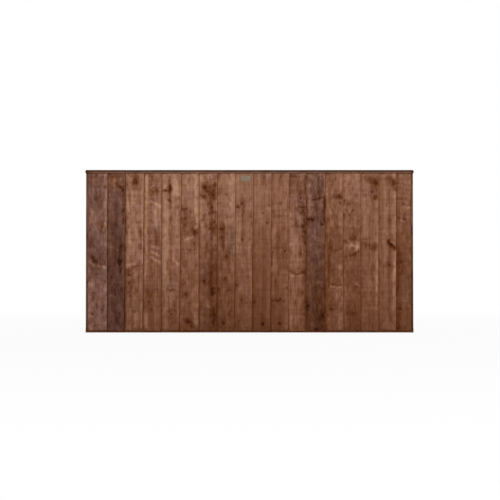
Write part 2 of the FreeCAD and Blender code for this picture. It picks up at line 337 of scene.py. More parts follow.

# Framing: node, way, heights in mm above the origin, and the tone, purple and silver at each. The base rail
# and the end battens, seen in their recess under and beside the boards, are mostly stained deeper than the
# rails, partly their own tone and partly painted shade of that recess
FRAMING = (
    ("base_rail", LEVEL, (0,), (2.5,), (0.3,), (0.0,)),
    ("bottom_rail", LEVEL, (0,), (1.3,), (0.2,), (0.0,)),
    ("middle_rail", LEVEL, (0,), (0.9,), (0.1,), (0.0,)),
    ("top_rail", LEVEL, (0,), (1.1,), (0.3,), (0.0,)),
    ("left_end_batten", UPRIGHT, (150, 250), (2.8, 2.3), (1.3, 1.3), (0.0, 0.0)),
    ("right_end_batten", UPRIGHT, (-450, 0, 110, 160, 330, 380), (3.9, 2.7, 2.7, 1.6, 1.6, 0.9),
     (0.7, 0.7, 0.7, 0.2, 0.2, 0.2), (0.1, 0.1, 0.1, 0.4, 0.4, 0.4)),
)

# Capping: heights in mm above its underside, and the tone, purple and silver at each. Its paler lowest mm
# are painted light over the dark line where it meets the boards; it is much darker and greyer on its
# sloping top
CAPPING = ((0, 4, 6, 9.5), (1.1, 1.6, 1.6, 4.5), (0.4, 0.4, 0.4, 0.9), (0.0, 0.0, 0.0, 0.45))

# Rows of knots in mm: how many, their places across, the first's place along, the step along, radii
FRAMING_KNOTS = (5, (10, 13, 16, 19, 22), 120, 260, (4, 5, 6))
CAPPING_KNOTS = (KNOTS_A_PIECE, (14, 23, 32), 170, 245, (5, 6, 7))

# How much further along, in mm, the knots of each next piece of the framing are
FRAMING_SHIFT = 35

# Starts of the random numbers, so that each piece has its own grain
FRAMING_SEED, CAPPING_SEED, NAIL_SEED = 40, 60, 77

# Noises: count to a metre, or to a knot's radius, across, in depth and along, then detail and roughness
NOISES = {
    "knot_rag": ((1.0, 1.0, 1.0), 3.0, 0.65),
    "knot_patch": ((3.1, 3.1, 2.2), 2.0, 0.5),
    "pith": ((3.0, 3.0, 1.7), 1.0, 0.5),
    "ring": ((26, 26, 7), 2.0, 0.5),
    "bend": ((11, 11, 6), 2.0, 0.5),
    "fibre": ((620, 620, 14), 2.0, 0.6),
    "streak": ((105, 105, 2.6), 2.0, 0.55),
    "crack": ((190, 190, 3.4), 1.0, 0.4),
    "cloud": ((22, 22, 9), 3.0, 0.5),
    "blotch": ((46, 46, 25), 2.0, 0.5),
    "fleck": ((115, 115, 65), 1.0, 0.5),
    "saw_sway": ((18, 18, 18), 1.0, 0.5),
    "saw_patch": ((9, 9, 7), 1.0, 0.5),
    "saw_band": ((5, 5, 62), 1.0, 0.5),
    "bloom": ((15, 15, 9), 2.0, 0.6),
    "zinc": ((700, 700, 700), 3.0, 0.6),
    "grime": ((45, 45, 60), 3.0, 0.6),
    "speck": ((600, 600, 600), 2.0, 0.6),
}

# A knot in radii: where its core and its halo end, how far along the grain each is drawn out
KNOT_CORE, KNOT_HALO = (0.35, 1.35), (0.6, 3.4)
KNOT_DRAWN, HALO_DRAWN = 0.75, 0.45

# Each timber: how plainly its grain shows, and its roughness
BOARD_FINISH, FRAMING_FINISH, CAPPING_FINISH = (1.0, 0.8), (1.0, 0.85), (0.9, 0.75)

# Size of the cells of the framing and the capping
FRAMING_CELL, CAPPING_CELL = 8 * MM, 3.5 * MM

# Depths of the stain at which it is dry, light, middle, deep and soaked
DIP_DEPTHS = (-1.0, 0.0, 1.5, 3.6, 6.5)

# Tint of the painted shade beside a lap, and of weathered timber
LAP_SHADE_TINT, SILVER_TINT = (1.0, 0.86, 0.70, 1.0), (1.26, 0.98, 0.76)

# Noise on the sawn faces, counted to a metre: hollows, splintered ends, long and short strays of an edge
HOLLOWS, SPLINTERS, LONG_STRAYS, SHORT_STRAYS = 11.0, 35.0, 3.1, 38

# Raggedness of a stroke: noise to a metre and reach in mm, across and along, and its patchiness
RAG_ACROSS, RAG_ALONG, RAG_PATCHES = (60, 4.5), (45, 6.0), 0.8

# Keeps the length of a spot, squared, from being 0
SMALLEST = 1e-12

# The pith beside a piece in m: its usual place and spread, across and in depth, and its step along
PITH_ACROSS, PITH_DEPTH, GRAIN_STEP = (-0.0625, 0.06), (0.045, 0.035), 3.7

# How much darker or paler the tone is at an edge, and the mm over which that fades; a board's paler head is
# painted light over the shadow under the cap
FOOT_DARKENING, HEAD_PAINTED_LIGHT, FRAME_END_SOAK, CAP_END_SOAK = (1.6, 11), (0.8, 5), (0.8, 10), (3.2, 12)

# The painted shade beside a lap, where its shadow falls: its reach in mm, its usual share, its spread and
# its patches to a metre
LAP_REACH, LAP_SHARE, LAP_SPREAD, LAP_PATCHES = 7, 0.9, 1.2, 16

# How far off, in m, a line starts that finds where a nail or staple goes in
LINE_START = 0.1

# The floor's size in m, how far off it starts to turn and is white, and its share of white up close
FLOOR_SIZE, FLOOR_TURN, FLOOR_WHITE, NEAR_SHARE = 14.0, 1.4, 4.5, 0.94

# Which way each lamp shines and how many degrees wide it is
KEY_LIGHT = ((0.18, 0.97, -0.14), 24)
FILL_LIGHT = ((-0.5, -0.8, -0.5), 40)


def length_property(name, description, millimetres):
    """A property for a length."""
    return FloatProperty(name=name, description=description, default=millimetres * MM, unit="LENGTH")


def colour_property(name, description, *shade):
    """A property for a colour."""
    return FloatVectorProperty(
        name=name, description=description, default=shade, min=0.0, max=1.0, subtype="COLOR")


def opaque(shade):
    """A colour with its alpha."""
    return (*shade, 1.0)


class FenceTimber(bpy.types.PropertyGroup):
    """Sizes of the sawn timber's surface."""

    arris: length_property("Arris", "Width of the worn arrises", 1.1)
    cell: length_property("Cell", "Size of the surface's cells", 5.0)
    waviness: length_property("Waviness", "Depth of the saw's hollows", 0.5)
    edge_wander: length_property("Edge Wander", "How far a board's edge strays", 1.2)
    end_roughness: length_property("End Roughness", "Unevenness of the sawn ends", 2.0)
    ring_spacing: length_property("Ring Spacing", "Distance between growth rings", 4.2)
    saw_pitch: length_property("Saw Pitch", "Distance between saw marks", 4.6)


class FenceStain(bpy.types.PropertyGroup):
    """Colours of the dip, from dry timber to soaked timber."""

    brown_dry: colour_property("Brown Dry", "Brown at its palest", 0.400, 0.221, 0.133)
    brown_light: colour_property("Brown Light", "Light brown", 0.287, 0.138, 0.084)
    brown_middle: colour_property("Brown Middle", "Middle brown", 0.158, 0.060, 0.027)
    brown_deep: colour_property("Brown Deep", "Deep brown", 0.085, 0.0230, 0.0065)
    purple_dry: colour_property("Purple Dry", "Purple brown at its palest", 0.425, 0.259, 0.244)
    purple_light: colour_property("Purple Light", "Light purple brown", 0.285, 0.157, 0.134)
    purple_middle: colour_property("Purple Middle", "Middle purple brown", 0.156, 0.074, 0.0545)
    purple_deep: colour_property("Purple Deep", "Deep purple brown", 0.086, 0.035, 0.0221)
    soaked: colour_property("Soaked", "Nearly black, in knots and cracks", 0.030, 0.0075, 0.0025)


class FenceFixings(bpy.types.PropertyGroup):
    """Sizes and colours of the nails, the tag and its staples."""

    head_width: length_property("Head Width", "Width of a nail's head", 6.5)
    head_height: length_property("Head Height", "Height of a nail's head", 1.1)
    shank_width: length_property("Shank Width", "Width of a nail's shank", 2.6)
    shank_length: length_property("Shank Length", "Length of shank modelled", 4.0)
    tag_corner: length_property("Tag Corner", "Radius of the tag's corners", 3.0)
    tag_wave: length_property("Tag Wave", "How far the tag's film lifts", 0.9)
    staple_width: length_property("Staple Width", "Width of a staple's crown", 9.0)
    staple_wire: length_property("Staple Wire", "Thickness of a staple's wire", 0.9)
    nail_colour: colour_property("Nail Colour", "Colour of a clean nail", 0.27, 0.20, 0.15)
    nail_stained: colour_property("Nail Stained", "Colour of a browned nail", 0.110, 0.052, 0.030)
    wire_colour: colour_property("Wire Colour", "Colour of a clean staple", 0.5, 0.47, 0.44)
    wire_stained: colour_property("Wire Stained", "Colour of a browned staple", 0.16, 0.1, 0.07)
    film_brown: colour_property("Film Brown", "Colour of the tag's dusty corner", 0.235, 0.135, 0.095)
    film_grey: colour_property("Film Grey", "Colour of the tag's cleaner film", 0.205, 0.175, 0.122)


class FenceStage(bpy.types.PropertyGroup):
    """The floor, the lights and the camera."""

    floor_colour: colour_property("Floor Colour", "Colour of the floor", 0.82, 0.82, 0.82)
    sky: FloatProperty(name="Sky", description="Strength of the light all round", default=0.50)
    key: FloatProperty(name="Key", description="Strength of the light from the upper left", default=1.8)
    fill: FloatProperty(name="Fill", description="Strength of the light from behind", default=0.6)
    camera_place: FloatVectorProperty(
        name="Camera Place", description="Where the camera stands", default=(0.9161, -6.03, -0.1058),
        subtype="TRANSLATION")
    camera_pitch: FloatProperty(
        name="Camera Pitch", description="How far the camera looks up",
        default=math.radians(1.06), unit="ROTATION")
    lens: FloatProperty(name="Lens", description="Focal length in mm", default=77.6)


# Node helpers

VALUE, VECTOR, COLOUR = "NodeSocketFloat", "NodeSocketVector", "NodeSocketColor"


def put(tree, kind, inputs=None, **settings):
    """Adds a node, sets it up, and links or sets its inputs."""
    made = tree.nodes.new(kind)
    for key, value in settings.items():
        setattr(made, key, value)
    for key, value in (inputs or {}).items():
        socket = made.inputs[key]
        if isinstance(value, bpy.types.NodeSocket):
            tree.links.new(value, socket)
        else:
            socket.default_value = value
    return made


def calc(tree, operation, *values, clamp=False):
    """The result of a Math node."""
    inputs = dict(enumerate(values))
    return put(tree, "ShaderNodeMath", inputs, operation=operation, use_clamp=clamp).outputs[0]


def total(tree, *values):
    """The sum of several values."""
    return reduce(lambda first, second: calc(tree, "ADD", first, second), values)


def product(tree, *values):
    """The product of several values."""
    return reduce(lambda first, second: calc(tree, "MULTIPLY", first, second), values)


def scaled(tree, vector, factors):
    """A vector or colour with each part multiplied."""
    inputs = {0: vector, 1: factors}
    return put(tree, "ShaderNodeVectorMath", inputs, operation="MULTIPLY").outputs[0]


def added(tree, first, second):
    """The sum of two vectors."""
    return put(tree, "ShaderNodeVectorMath", {0: first, 1: second}).outputs[0]


def sideways(tree, amount):
    """A vector of this length across the grain."""
    return put(tree, "ShaderNodeCombineXYZ", {"X": amount}).outputs[0]


def split(tree, vector):
    """The three parts of a vector."""
    return put(tree, "ShaderNodeSeparateXYZ", {0: vector}).outputs[:]


def mixed(tree, share, first, second):
    """A colour on the way from the first to the second."""
    return put(tree, "ShaderNodeMix", {0: share, 6: first, 7: second}, data_type="RGBA").outputs[2]


def ease(tree, value, low, high, start=0.0, end=1.0):
    """A smooth step of a value from low to high."""
    inputs = {"Value": value, "From Min": low, "From Max": high, "To Min": start, "To Max": end}
    return put(tree, "ShaderNodeMapRange", inputs, interpolation_type="SMOOTHSTEP").outputs[0]


def cloud(tree, place, name):
    """One of the noises, from 0 to 1."""
    count, detail, roughness = NOISES[name]
    inputs = {"Vector": scaled(tree, place, count), "Scale": 1.0, "Detail": detail, "Roughness": roughness}
    return put(tree, "ShaderNodeTexNoise", inputs).outputs[0]


def centred(tree, value, amount):
    """A value from 0 to 1 made to swing either side of 0 by half the amount."""
    return calc(tree, "MULTIPLY_ADD", value, amount, -0.5 * amount)


def swing(tree, place, name, amount):
    """One of the noises made to swing either side of 0 by half the amount."""
    return centred(tree, cloud(tree, place, name), amount)


def attribute(tree, name, output="Fac"):
    """A value that the mesh carries."""
    return put(tree, "ShaderNodeAttribute", attribute_name=name).outputs[output]


def group(name, inputs, outputs):
    """An empty node group with named sockets, and the sockets of what it is given."""
    tree = bpy.data.node_groups.new(name, "ShaderNodeTree")
    for in_out, sockets in (("INPUT", inputs), ("OUTPUT", outputs)):
        for label, kind in sockets.items():
            tree.interface.new_socket(name=label, in_out=in_out, socket_type=kind)
    return tree, tree.nodes.new("NodeGroupInput").outputs


def use(tree, name, inputs):
    """The outputs of a node group placed in a tree."""
    return put(tree, "ShaderNodeGroup", inputs, node_tree=bpy.data.node_groups[name]).outputs


def empty_tree(owner):
    """The node tree of a new material or world, with nothing in it."""
    owner.use_nodes = True
    owner.node_tree.nodes.clear()
    return owner.node_tree


def new_material(name):
    """A new material and its empty node tree."""
    material = bpy.data.materials.new(name)
    return material, empty_tree(material)


def object_place(tree):
    """Where a point is in its object."""
    return put(tree, "ShaderNodeTexCoord").outputs["Object"]


def shade(tree, colour, gloss, relief, strength, distance, specular, metallic=0.0):
    """Ends a material in a Principled shader whose bump has a strength and a distance."""
    bump = put(tree, "ShaderNodeBump", {"Height": relief, "Strength": strength, "Distance": distance})
    shader = put(tree, "ShaderNodeBsdfPrincipled", {
        "Base Color": colour, "Roughness": gloss, "Normal": bump.outputs[0], "Metallic": metallic,
        "Specular IOR Level": specular})
    put(tree, "ShaderNodeOutputMaterial", {"Surface": shader.outputs[0]})


# Node groups

def knot_distance(tree, square_across, off_along, radius):
    """The distance from a knot's middle, in radii."""
    square = calc(tree, "MULTIPLY_ADD", off_along, off_along, square_across)
    return calc(tree, "DIVIDE", calc(tree, "SQRT", square), radius)


def make_knot_group():
    """A knot: it pushes the grain aside and has a dark core in a ring."""
    state = {"Push": VECTOR, "Core": VALUE, "Halo": VALUE}
    tree, given = group("Knot", {"Grain": VECTOR, "Knot": VECTOR, **state}, state)
    across, depth, along = split(tree, given["Grain"])
    knot_across, knot_along, radius = split(tree, given["Knot"])
    radius = calc(tree, "MAXIMUM", radius, 0.01 * MM)
    inputs = {0: given["Grain"], 3: calc(tree, "DIVIDE", 0.55, radius)}
    near = put(tree, "ShaderNodeVectorMath", inputs, operation="SCALE").outputs[0]
    patchy = cloud(tree, near, "knot_patch")
    lean = product(tree, swing(tree, near, "knot_rag", 2.6), radius)
    off_across = calc(tree, "SUBTRACT", across, knot_across)
    off_along = total(tree, calc(tree, "SUBTRACT", along, knot_along), lean)
    off_along = product(tree, off_along, KNOT_DRAWN)
    square_across = product(tree, off_across, off_across)
    distance = knot_distance(tree, square_across, off_along, radius)
    uneven = total(tree, distance, centred(tree, patchy, 1.1))
    core = calc(tree, "SUBTRACT", 1.0, ease(tree, uneven, *KNOT_CORE))
    off_along = product(tree, off_along, HALO_DRAWN)
    drawn = knot_distance(tree, square_across, off_along, radius)
    uneven = total(tree, drawn, centred(tree, patchy, 1.6))
    halo = calc(tree, "SUBTRACT", 1.0, ease(tree, uneven, *KNOT_HALO))
    fall = calc(tree, "EXPONENT", product(tree, distance, distance, -0.16))
    aside = product(tree, off_across, fall, -0.92)
    put(tree, "NodeGroupOutput", {
        "Push": added(tree, given["Push"], sideways(tree, aside)),
        "Core": calc(tree, "MAXIMUM", given["Core"], core),
        "Halo": calc(tree, "MAXIMUM", given["Halo"], halo)})


def make_rings_group():
    """Growth rings round a wandering pith, cut by whatever face the piece has."""
    tree, given = group(
        "Growth Rings", {"Grain": VECTOR, "Spacing": VALUE}, {"Late Wood": VALUE, "Year": VALUE})
    grain = given["Grain"]
    across, depth, along = split(tree, grain)
    across = total(tree, across, swing(tree, grain, "pith", 0.075), swing(tree, grain, "ring", 0.006))
    square = total(tree, product(tree, across, across), product(tree, depth, depth))
    rings = calc(tree, "DIVIDE", calc(tree, "SQRT", square), given["Spacing"])
    late_wood = calc(tree, "POWER", calc(tree, "FRACT", rings), 2.5)
    year = put(tree, "ShaderNodeTexWhiteNoise", {"W": calc(tree, "FLOOR", rings)}, noise_dimensions="1D")
    put(tree, "NodeGroupOutput", {"Late Wood": late_wood, "Year": year.outputs["Value"]})


def make_fibre_group():
    """Fine fibres, broad streaks and drying cracks, all along the grain."""
    tree, given = group("Fibre", {"Grain": VECTOR}, {"Fine": VALUE, "Streak": VALUE, "Crack": VALUE})
    grain = given["Grain"]
    put(tree, "NodeGroupOutput", {
        "Fine": cloud(tree, grain, "fibre"),
        "Streak": cloud(tree, grain, "streak"),
        "Crack": ease(tree, cloud(tree, grain, "crack"), 0.72, 0.80)})


def make_mottle_group():
    """How unevenly the dip soaked in: wide clouds, blotches and small flecks."""
    names = ("Cloud", "Blotch", "Fleck")
    tree, given = group("Mottle", {"Grain": VECTOR}, dict.fromkeys(names, VALUE))
    put(tree, "NodeGroupOutput", {name: cloud(tree, given["Grain"], name.lower()) for name in names})


def make_saw_group():
    """Level ridges that the saw left across the grain, in patches, and wide level bands."""
    tree, given = group("Saw Marks", {"Grain": VECTOR, "Pitch": VALUE}, {"Ridge": VALUE, "Band": VALUE})
    grain = given["Grain"]
    along = total(tree, split(tree, grain)[2], swing(tree, grain, "saw_sway", 0.012))
    turns = calc(tree, "DIVIDE", along, given["Pitch"])
    wave = calc(tree, "SINE", product(tree, turns, 2 * math.pi))
    patch = ease(tree, cloud(tree, grain, "saw_patch"), 0.42, 0.66)
    ridge = product(tree, calc(tree, "MULTIPLY_ADD", wave, 0.5, 0.5), patch)
    put(tree, "NodeGroupOutput", {"Ridge": ridge, "Band": cloud(tree, grain, "saw_band")})


def make_colour_group(stain):
    """The dipped timber's colour from the depth of the stain and its share of purple."""
    tree, given = group("Dip Colour", {"Depth": VALUE, "Purple": VALUE}, {"Colour": COLOUR})
    least, most = DIP_DEPTHS[0], DIP_DEPTHS[-1]
    inputs = {"Value": given["Depth"], "From Min": least, "From Max": most}
    place = put(tree, "ShaderNodeMapRange", inputs).outputs[0]
    positions = [(depth - least) / (most - least) for depth in DIP_DEPTHS]
    shades = []
    for family in ("brown", "purple"):
        names = [f"{family}_{shade}" for shade in ("dry", "light", "middle", "deep")] + ["soaked"]
        colours = [np.array(getattr(stain, name)) for name in names]
        ramp = put(tree, "ShaderNodeValToRGB", {0: place})
        stops = ramp.color_ramp.elements
        stops[0].color, stops[1].color = opaque(colours[0]), opaque(colours[-1])
        for position, colour in zip(positions[1:-1], colours[1:-1]):
            stops.new(position).color = opaque(colour)
        for index in range(len(colours) - 1):
            between = 0.5 * (positions[index] + positions[index + 1])
            stops.new(between).color = opaque(np.sqrt(colours[index] * colours[index + 1]))
        shades.append(ramp.outputs[0])
    put(tree, "NodeGroupOutput", {"Colour": mixed(tree, given["Purple"], *shades)})


def own_grain(tree):
    """A piece's place in its own grain, pushed aside by its knots, and the knots' cores and halos."""
    place = attribute(tree, "grain", "Vector")
    push, core, halo = sideways(tree, 0.0), 0.0, 0.0
    for number in range(1, KNOTS_A_PIECE + 1):
        spot = attribute(tree, f"knot_{number}", "Vector")
        inputs = {"Grain": place, "Knot": spot, "Push": push, "Core": core, "Halo": halo}
        push, core, halo = use(tree, "Knot", inputs)
    own = added(tree, added(tree, place, push), attribute(tree, "seed", "Vector"))
    own = added(tree, own, sideways(tree, swing(tree, own, "bend", 0.030)))
    return own, core, halo


def dipped(tree, own, depth, painted, core):
    """The colour at a depth of stain, less purple in knots, painted marks and the painted shade beside
    laps.
    """
    # Painted shade beside a lap: less purple and tinted browner
    lap_shade = attribute(tree, "lap_shade")
    warm = product(tree, calc(tree, "ABSOLUTE", painted), 0.3)
    warm = calc(tree, "MULTIPLY_ADD", core, 0.5, warm)
    warm = calc(tree, "MULTIPLY_ADD", lap_shade, 0.6, warm)
    purple = total(tree, attribute(tree, "purple"), swing(tree, own, "bloom", 1.0))
    purple = calc(tree, "SUBTRACT", purple, warm, clamp=True)
    colour = use(tree, "Dip Colour", {"Depth": depth, "Purple": purple})["Colour"]
    return scaled(tree, colour, mixed(tree, lap_shade, WHITE, LAP_SHADE_TINT))


def silvered(tree, colour, cloudy):
    """A colour gone grey in clouds where the timber has weathered."""
    grey = scaled(tree, put(tree, "ShaderNodeRGBToBW", {0: colour}).outputs[0], SILVER_TINT)
    share = product(tree, attribute(tree, "silver"), ease(tree, cloudy, 0.30, 0.60, 0.35, 0.9))
    return mixed(tree, share, colour, grey)


def timber_material(name, timber, strength, roughness):
    """Sawn and dipped timber. Strength sets how plainly rings, streaks and clouds show."""
    material, tree = new_material(name)
    own, core, halo = own_grain(tree)
    rings = use(tree, "Growth Rings", {"Grain": own, "Spacing": timber.ring_spacing})
    fibre = use(tree, "Fibre", {"Grain": own})
    mottle = use(tree, "Mottle", {"Grain": own})
    saw = use(tree, "Saw Marks", {"Grain": own, "Pitch": timber.saw_pitch})
    flecked = calc(tree, "MULTIPLY_ADD", mottle["Fleck"], 1.6, 0.5)
    painted = product(tree, attribute(tree, "marks"), flecked)
    worn = product(tree, attribute(tree, "worn"), ease(tree, mottle["Cloud"], 0.35, 0.65, 0.0, -0.5))
    patchy = total(
        tree,
        centred(tree, mottle["Cloud"], 1.5 * strength),
        centred(tree, mottle["Blotch"], 2.3 * strength),
        centred(tree, mottle["Fleck"], 0.9 * strength),
        ease(tree, mottle["Blotch"], 0.60, 0.75, 0.0, 0.55 * strength))
    depth = total(
        tree, attribute(tree, "tone"), painted, worn,
        centred(tree, rings["Year"], 0.45 * strength),
        centred(tree, rings["Late Wood"], 0.35 * strength),
        centred(tree, fibre["Streak"], 1.3 * strength),
        centred(tree, fibre["Fine"], 0.8 * strength),
        product(tree, patchy, attribute(tree, "mottle")),
        centred(tree, saw["Band"], 0.9 * strength),
        product(tree, saw["Ridge"], -0.12),
        product(tree, fibre["Crack"], 1.3),
        product(tree, halo, 0.7),
        product(tree, core, 1.6))
    colour = silvered(tree, dipped(tree, own, depth, painted, core), mottle["Cloud"])
    relief = total(
        tree,
        product(tree, fibre["Fine"], 0.55),
        product(tree, rings["Late Wood"], 0.25),
        product(tree, saw["Ridge"], 0.6),
        product(tree, fibre["Crack"], -1.4),
        product(tree, core, 0.35))
    gloss = calc(tree, "MULTIPLY_ADD", mottle["Cloud"], -0.25, roughness + 0.12, clamp=True)
    shade(tree, colour, gloss, relief, 0.7, 0.9 * MM, 0.03)
    return material


# Mesh helpers

def divide(bm, axis, cell):
    """Cuts the edges that run along an axis into cells."""
    lengths = {}
    for edge in bm.edges:
        run = edge.verts[1].co - edge.verts[0].co
        if run.length > 1.5 * cell and abs(run.dot(AXES[axis])) > 0.9 * run.length:
            lengths.setdefault(round(run.length / cell), []).append(edge)
    for cells, edges in lengths.items():
        bmesh.ops.subdivide_edges(bm, edges=edges, cuts=cells - 1, use_grid_fill=True)


def round_off(bm, edges, offset, segments=2):
    """Rounds edges off."""
    bmesh.ops.bevel(bm, geom=edges, offset=offset, offset_type="OFFSET", segments=segments,
                    profile=0.5, affect="EDGES", material=-1)


def cad_copy(node):
    """A merged copy of a CAD node's mesh, without the lines between its triangles."""
    bm = bmesh.new()
    bm.from_mesh(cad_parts[node].data)
    bmesh.ops.remove_doubles(bm, verts=bm.verts, dist=0.01 * MM)
    bmesh.ops.dissolve_limit(bm, angle_limit=math.radians(1), verts=bm.verts, edges=bm.edges)
    return bm


def mesh_of(bm, name):
    """Turns a bmesh into a mesh."""
    mesh = bpy.data.meshes.new(name)
    bm.to_mesh(mesh)
    bm.free()
    return mesh


def add_object(name, data):
    """Adds an object to the scene."""
    made = bpy.data.objects.new(name, data)
    bpy.context.scene.collection.objects.link(made)
    return made


def carry(mesh, name, kind, values):
    """Stores values on a mesh's vertices."""
    layer = mesh.attributes.new(name, kind, "POINT")
    field = "vector" if kind == "FLOAT_VECTOR" else "value"
    layer.data.foreach_set(field, np.asarray(values, np.float32).ravel())


def places_of(mesh):
    """A mesh's vertices as rows of x, y and z."""
    flat = np.empty(len(mesh.vertices) * 3, np.float32)
    mesh.vertices.foreach_get("co", flat)
    return flat.reshape(-1, 3)


# Timber pieces

def sawn_piece(node, axes, cell, seed, timber, ends=0.0, wander=0.0, lean=(0.0, 0.0)):
    """A sawn copy of a CAD node with worn arrises. Ends, wander and lean shift its surface inwards."""
    across, depth, along = axes
    low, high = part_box(node)
    bm = cad_copy(node)
    round_off(bm, bm.edges, timber.arris)
    for axis in (along, across, depth):
        divide(bm, axis, cell)
    bm.normal_update()
    worn = [float(max(edge.calc_face_angle(0.0) for edge in vert.link_edges) > 0.1) for vert in bm.verts]
    shift = Vector(seed) * 7.0
    for vert in bm.verts:
        place, normal = vert.co.copy(), vert.normal.copy()
        hollow = 0.5 + 0.5 * noise.noise(place * HOLLOWS + shift)
        inward = timber.waviness * min(1.0, max(0.0, hollow))
        if abs(normal[along]) > 0.5:
            inward += ends * max(0.0, 0.5 + 0.7 * noise.noise(place * SPLINTERS + shift))
        vert.co -= normal * inward
        stray = 0.5 + 0.5 * noise.noise(Vector((shift.x, shift.y, place[along] * LONG_STRAYS)))
        stray += 0.6 * noise.noise(Vector((shift.x, shift.y, place[along] * SHORT_STRAYS)))
        share = (place[across] - low[across]) / (high - low)[across]
        rise = (place[along] - low[along]) / (high - low)[along]
        inset = lean[0] * rise + lean[1] * (1 - rise) + wander * stray
        vert.co[across] -= inset * share
    bm.normal_update()
    name = f"sawn_{node}"
    piece = add_object(name, mesh_of(bm, name))
    piece.data.shade_smooth()
    carry(piece.data, "worn", "FLOAT", worn)
    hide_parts(node)
    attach(piece, "root")
    return piece


def finish_piece(piece, seed, knots, slot, material, grain, **values):
    """Gives a timber piece what its material reads."""
    mesh = piece.data
    count = len(mesh.vertices)
    carry(mesh, "grain", "FLOAT_VECTOR", grain)
    carry(mesh, "seed", "FLOAT_VECTOR", np.tile(np.array(seed), (count, 1)))
    usual = {"tone": 0.0, "marks": 0.0, "purple": 0.0, "mottle": 1.0, "lap_shade": 0.0, "silver": 0.0}
    for name, value in {**usual, **values}.items():
        carry(mesh, name, "FLOAT", np.broadcast_to(value, count))
    spare = [(0.0, 0.0, 0.0)] * (KNOTS_A_PIECE - len(knots))
    for number, knot in enumerate([*knots, *spare], 1):
        carry(mesh, f"knot_{number}", "FLOAT_VECTOR", np.tile(np.array(knot) * MM, (count, 1)))
    mesh.materials.append(material)


def seed_of(number):
    """A shift of the grain for a piece, so that no two look alike: pith across, pith depth, along."""
    noise.seed_set(number + 1)
    random = noise.random_vector()
    across = PITH_ACROSS[0] + PITH_ACROSS[1] * random.x
    depth = PITH_DEPTH[0] + PITH_DEPTH[1] * random.y
    return (across, depth, GRAIN_STEP * number + random.z)


def fade(distance, amount, reach):
    """An amount that falls away with distance, over a reach in mm."""
    return amount * np.exp(-distance / (reach * MM))


def from_ends(place, low, high, along):
    """How far each vertex is from the nearer end."""
    return np.minimum(place[:, along] - low[along], high[along] - place[:, along])


def stain_by_height(height, levels, tones, purples, silvers):
    """The stain at each vertex, from what it is at levels in mm."""
    values = {"tone": tones, "purple": purples, "silver": silvers}
    return {name: np.interp(height, np.array(levels) * MM, values[name]) for name in values}


def row_of_knots(shift, count, across, first, step, radii):
    """Knots in a row along a piece, each given as KNOTS gives them."""
    return [(across[k % len(across)], first + shift + step * k, radii[k % len(radii)])
            for k in range(count)]


def strokes_on(across, along, shift, strokes):
    """The sum of soft ragged strokes and spots."""
    result = np.zeros_like(across)
    if not strokes:
        return result
    (count_across, reach_across), (count_along, reach_along) = RAG_ACROSS, RAG_ALONG
    places = [Vector((x * count_across, z * count_along, shift)) for x, z in zip(across, along)]
    wobble = np.array([noise.noise_vector(place) for place in places])
    across = across + reach_across * MM * wobble[:, 0]
    along = along + reach_along * MM * wobble[:, 1]
    for *ends, half_width, strength in strokes:
        start = np.array(ends[:2]) * MM
        run = np.array(ends[-2:]) * MM - start
        share = (across - start[0]) * run[0] + (along - start[1]) * run[1]
        share = np.clip(share / max(float(run @ run), SMALLEST), 0.0, 1.0)
        off_across = across - start[0] - share * run[0]
        off_along = along - start[1] - share * run[1]
        square = (off_across ** 2 + off_along ** 2) / (half_width * MM) ** 2
        result += strength * np.exp(-square)
    return result * (1.0 + RAG_PATCHES * wobble[:, 2])


def board_stain(number, place, from_edge, height, high, covered):
    """A board's stain, with painted shade beside the edge that laps over it. Covered is the x of that edge,
    or None.
    """
    head, middle, foot, purple_head, purple_foot, lap, mottle = TONES[1 + (number - 1) % len(TONES)]
    tone = np.interp(height, TONE_HEIGHTS, (foot, middle, head))
    # Darker at the foot; paler at the head, painted light over the shadow that the cap casts
    tone = tone + fade(height, *FOOT_DARKENING) - fade(high.z - place[:, 2], *HEAD_PAINTED_LIGHT)
    purple = np.interp(height, PURPLE_HEIGHTS, (purple_foot, purple_head))
    lap_shade = np.zeros_like(tone)
    # Painted shade: darker beside the edge that laps over the board, where that edge's shadow falls
    if covered is not None:
        patches = [noise.fractal(Vector((7, number, z * LAP_PATCHES)), 0.8, 2.0, 3) for z in height]
        lap_shade = fade(np.clip(place[:, 0] - covered, 0.0, None), 1.0, LAP_REACH)
        tone = tone + lap * (LAP_SHARE + LAP_SPREAD * np.array(patches)) * lap_shade
    marks = strokes_on(from_edge, height, number, MARKS.get(number, ()))
    purple = purple + strokes_on(from_edge, height, number, BLOOMS.get(number, ()))
    return {"tone": tone, "marks": marks, "purple": purple, "mottle": mottle, "lap_shade": lap_shade}


class FENCE_OT_groups(bpy.types.Operator):
    """Build the node groups that the timber shares"""

    bl_idname = "fence.groups"
    bl_label = "Timber Node Groups"

    def execute(self, context):
        make_knot_group()
        make_rings_group()
        make_fibre_group()
        make_mottle_group()
        make_saw_group()
        make_colour_group(context.scene.fence_stain)
        return {"FINISHED"}


class FENCE_OT_boards(bpy.types.Operator):
    """Build the lapped boards"""

    bl_idname = "fence.boards"
    bl_label = "Boards"

    def execute(self, context):
        timber = context.scene.fence_timber
        material = timber_material("board_timber", timber, *BOARD_FINISH)
        covered = None
        for number in range(1, BOARD_COUNT + 1):
            node = f"board_{number:02d}"
            low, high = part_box(node)
            seed = seed_of(number)
            lean = [mm * MM for mm in LEANS.get(number, (0, 0))]
            piece = sawn_piece(node, UPRIGHT, timber.cell, seed, timber,
                               timber.end_roughness, timber.edge_wander, lean)
            place = places_of(piece.data)
            from_edge, height = high.x - place[:, 0], place[:, 2] - PANEL_FOOT
            grain = np.stack((from_edge, place[:, 1] - low.y, height), 1)
            stain = board_stain(number, place, from_edge, height, high, covered)
            finish_piece(piece, seed, KNOTS.get(number, ()), "boards", material, grain, **stain)
            covered = high.x
        return {"FINISHED"}


